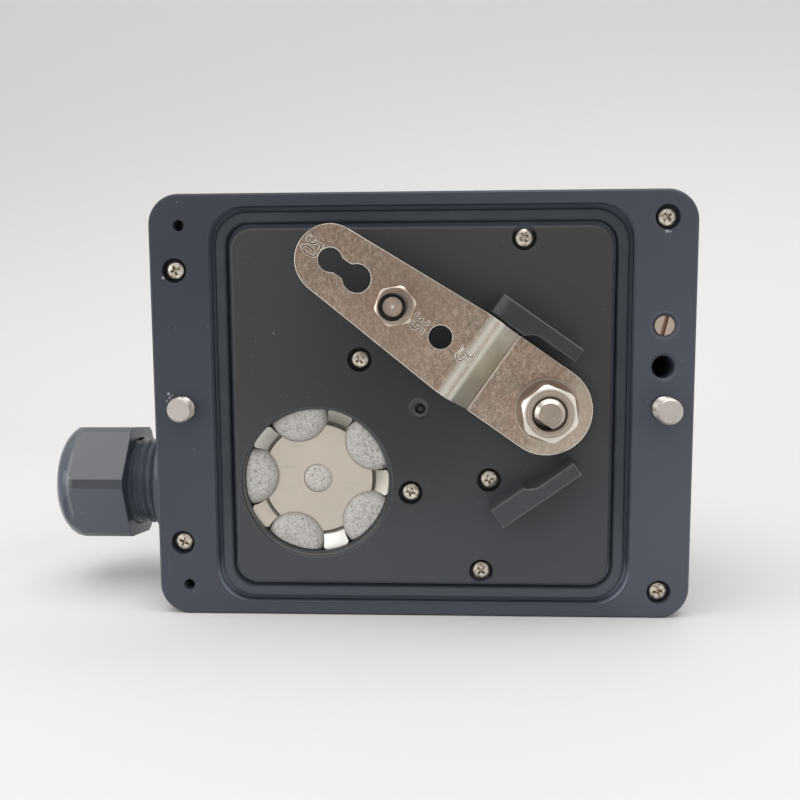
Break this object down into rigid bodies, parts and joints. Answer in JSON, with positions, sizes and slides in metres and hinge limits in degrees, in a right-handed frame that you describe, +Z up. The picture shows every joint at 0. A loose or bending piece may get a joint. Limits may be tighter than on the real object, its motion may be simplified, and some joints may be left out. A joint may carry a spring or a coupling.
{
  "type": "valve positioner",
  "caption": "Small electropneumatic valve positioner in a flat box housing, with a cranked pick-up lever, follower pin, vent, mounting seal and cable gland.",
  "frame": {"origin": "centre of the mounting face, midway between the axes of the two captive fastening screws", "axes": "-Y out of the mounting face towards the actuator, +Z up, +X towards the air ports, as seen from the mounting side"},
  "size_m": [0.1333, 0.0708, 0.084],
  "materials": {
    "flange_metal": "dark blue-grey powder coat, fine texture",
    "cover_plastic": "dark grey moulded plastic, fine spark texture",
    "seal_rubber": "black elastomer",
    "screw_steel": "bright zinc plated",
    "lever_steel": "stainless sheet, satin",
    "filter_porous": "light grey sintered, speckled",
    "spring_steel": "bright stainless strip",
    "sleeve_plastic": "black",
    "gland_plastic": "mid grey polyamide",
    "bush_bronze": "sintered bronze",
    "window_clear": "clear polycarbonate",
    "board_green": "circuit board",
    "module_plastic": "black moulded plastic",
    "display_glass": "display, off",
    "terminal_plastic": "green moulded plastic",
    "magnet_metal": "nickel plated",
    "spacer_metal": "nickel brass"
  },
  "bodies": {
    "housing": {"base_plate": "flange_metal", "mounting_seal": "seal_rubber", "mechanism_cover": "cover_plastic", "base_screws": "screw_steel", "platform_screws": "screw_steel", "vent_filter": "filter_porous", "vent_spring_washer": "spring_steel", "output_plug": "screw_steel", "shaft_seal": "seal_rubber", "shaft_bush": "bush_bronze", "housing_shell": "flange_metal", "housing_gasket": "seal_rubber", "cover_gasket": "seal_rubber", "supply_strainer": "filter_porous", "output_strainer": "filter_porous", "gland_body": "gland_plastic", "gland_insert": "seal_rubber", "front_cover": "flange_metal", "cover_screws": "screw_steel", "window": "window_clear", "board_spacers": "spacer_metal", "circuit_board": "board_green", "converter_module": "module_plastic", "booster_relay": "module_plastic", "angle_sensor": "board_green", "return_spring": "spring_steel", "terminal_block": "terminal_plastic", "display_module": "display_glass"},
    "lever": {"pickup_shaft": "screw_steel", "pickup_lever": "lever_steel", "disc_spring": "spring_steel", "lever_nut": "screw_steel", "follower_pin": "screw_steel", "follower_sleeve": "sleeve_plastic", "pin_nut": "screw_steel", "magnet_holder": "module_plastic", "magnet": "magnet_metal"},
    "screw_carrier_left": {"screw_retainer_left": "spring_steel"},
    "screw_carrier_right": {"screw_retainer_right": "spring_steel"},
    "fastening_left": {"fastening_screw_left": "screw_steel"},
    "fastening_right": {"fastening_screw_right": "screw_steel"},
    "gland_thrust": {"gland_claw": "gland_plastic"},
    "gland_cap_body": {"gland_cap": "gland_plastic"}
  },
  "joints": [
    {"name": "lever_swing", "type": "hinge", "parent": "housing", "child": "lever", "pos_m": [0.0244, 0, 0], "axis": [0, -1, 0], "range_deg": [0, 70.4], "stiffness_Nm_per_rad": 0.01, "springref_deg": -60.16, "deforming": ["return_spring"]},
    {"name": "screw_slide_left", "type": "slide", "parent": "housing", "child": "screw_carrier_left", "axis": [0, -1, 0], "range_m": [-0.0027, 0.0042]},
    {"name": "screw_slide_right", "type": "slide", "parent": "housing", "child": "screw_carrier_right", "axis": [0, -1, 0], "range_m": [-0.0068, 0.00015]},
    {"name": "screw_turn_left", "type": "hinge", "parent": "screw_carrier_left", "child": "fastening_left", "pos_m": [-0.0473, 0, 0], "axis": [0, -1, 0], "continuous": true},
    {"name": "screw_turn_right", "type": "hinge", "parent": "screw_carrier_right", "child": "fastening_right", "pos_m": [0.0473, 0, 0], "axis": [0, -1, 0], "continuous": true},
    {"name": "gland_cap_travel", "type": "slide", "parent": "housing", "child": "gland_thrust", "axis": [1, 0, 0], "range_m": [0, 0.0045]},
    {"name": "gland_cap_turn", "type": "hinge", "parent": "gland_thrust", "child": "gland_cap_body", "pos_m": [-0.07, 0.024, -0.0193], "axis": [1, 0, 0], "range_deg": [0, 1080]}
  ],
  "couplings": [
    {"joint": "gland_cap_travel", "follows": "gland_cap_turn", "m_per_rad": 0.00023873}
  ]
}
